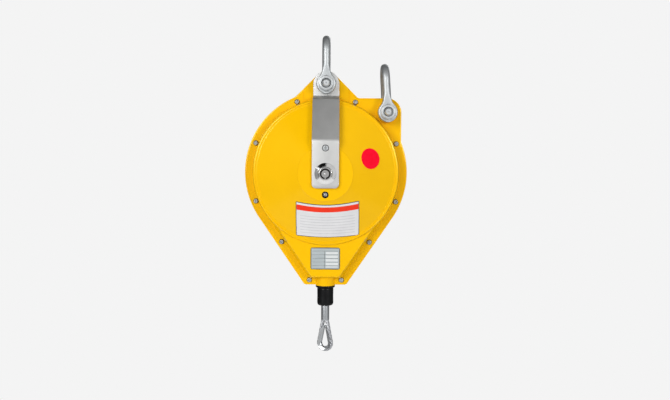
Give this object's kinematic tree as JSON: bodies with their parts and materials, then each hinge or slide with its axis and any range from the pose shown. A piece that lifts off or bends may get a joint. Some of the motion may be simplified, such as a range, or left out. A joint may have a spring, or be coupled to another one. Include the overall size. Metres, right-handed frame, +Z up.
{
  "type": "spring balancer",
  "caption": "Tool balancer: a rope drum turned by a flat spiral spring in a two-part cast casing, hung from a shackle, with a safety shackle and a rope ending in a thimble eye.",
  "frame": {"origin": "inner crown of the top shackle, where the hook that carries the balancer bears", "axes": "+Z up along the hanging rope, +X to the side with the safety tab, +Y from the front with the label to the back, along the drum shaft"},
  "size_m": [0.2, 0.132, 0.3939],
  "materials": {
    "yellow_paint": "glossy paint on cast aluminium",
    "strap_steel": "brushed flat bar",
    "zinc_plate": "bright zinc plate",
    "polished_steel": "turned and polished",
    "black_steel": "blackened",
    "bronze": "plain bearing bronze",
    "cast_aluminium": "as cast",
    "spring_steel": "tempered strip",
    "wire_rope": "stranded wire",
    "swage_aluminium": "pressed sleeve",
    "thimble_steel": "bright pressed steel",
    "black_nylon": "turned plastic",
    "stopper_rubber": "moulded rubber",
    "label_film": "white film with a plain red band",
    "sticker_film": "red film",
    "plate_foil": "blank foil plate"
  },
  "bodies": {
    "top_shackle": {"top_shackle_bow": "zinc_plate", "top_shackle_bolt": "zinc_plate", "top_shackle_nut": "zinc_plate"},
    "casing": {"front_casing": "yellow_paint", "rear_casing": "yellow_paint", "casing_screws": "zinc_plate", "front_strap": "strap_steel", "rear_strap": "strap_steel", "strap_screws": "zinc_plate", "hanger_bush": "bronze", "tab_bush": "bronze", "main_shaft": "polished_steel", "front_ring_nut": "polished_steel", "rear_ring_nut": "polished_steel", "shaft_circlips": "black_steel", "shaft_spacers": "polished_steel", "bearing_inner_ring": "polished_steel", "bearing_balls": "polished_steel", "rope_lead": "wire_rope", "outlet_bush": "black_nylon", "worm_bushes": "bronze", "pawl_pin": "polished_steel", "label_plate": "label_film", "round_sticker": "sticker_film", "rating_plate": "plate_foil"},
    "safety_shackle": {"safety_shackle_bow": "zinc_plate", "safety_shackle_bolt": "zinc_plate", "safety_shackle_nut": "zinc_plate"},
    "drum": {"rope_drum": "cast_aluminium", "spring_case_lid": "cast_aluminium", "lid_screws": "zinc_plate", "lid_bush": "bronze", "bearing_outer_ring": "polished_steel", "rope_winding": "wire_rope", "rope_anchor": "swage_aluminium", "main_spring": "spring_steel"},
    "rope_end": {"rope_fall": "wire_rope", "rope_stopper": "stopper_rubber", "swage_sleeve": "swage_aluminium", "rope_eye": "wire_rope", "thimble": "thimble_steel"},
    "arbor": {"spring_arbor": "polished_steel", "worm_wheel": "bronze"},
    "worm": {"adjusting_worm": "polished_steel"},
    "pawl": {"lock_pawl": "black_steel"},
    "lock_screw": {"drum_lock_screw": "black_steel"}
  },
  "joints": [
    {"name": "suspension_swing", "type": "hinge", "parent": "top_shackle", "child": "casing", "pos_m": [0, 0, -0.05], "axis": [0, 1, 0], "range_deg": [-35, 35]},
    {"name": "safety_shackle_swing", "type": "hinge", "parent": "casing", "child": "safety_shackle", "pos_m": [0.075, 0, -0.084], "axis": [0, 1, 0], "range_deg": [-45, 145]},
    {"name": "drum_spin", "type": "hinge", "parent": "casing", "child": "drum", "pos_m": [0, 0, -0.158], "axis": [0, 1, 0], "range_deg": [0, 1200], "stiffness_Nm_per_rad": 0.2, "springref_deg": -2864.79},
    {"name": "rope_pull", "type": "slide", "parent": "casing", "child": "rope_end", "axis": [0, 0, -1], "range_m": [0, 1.2986], "deforming": ["rope_fall"]},
    {"name": "arbor_turn", "type": "hinge", "parent": "casing", "child": "arbor", "pos_m": [0, 0, -0.158], "axis": [0, 1, 0], "range_deg": [-360, 360]},
    {"name": "worm_spin", "type": "hinge", "parent": "casing", "child": "worm", "pos_m": [0, 0.029, -0.1875], "axis": [1, 0, 0], "range_deg": [-10800, 10800]},
    {"name": "pawl_swing", "type": "hinge", "parent": "casing", "child": "pawl", "pos_m": [-0.07283, 0, -0.13149], "axis": [0, 1, 0], "range_deg": [-10, 0]},
    {"name": "lock_screw_travel", "type": "slide", "parent": "casing", "child": "lock_screw", "axis": [0, 1, 0], "range_m": [0, 0.006]}
  ],
  "couplings": [
    {"joint": "rope_pull", "follows": "drum_spin", "m_per_rad": 0.062},
    {"joint": "worm_spin", "follows": "arbor_turn", "ratio": 30}
  ]
}
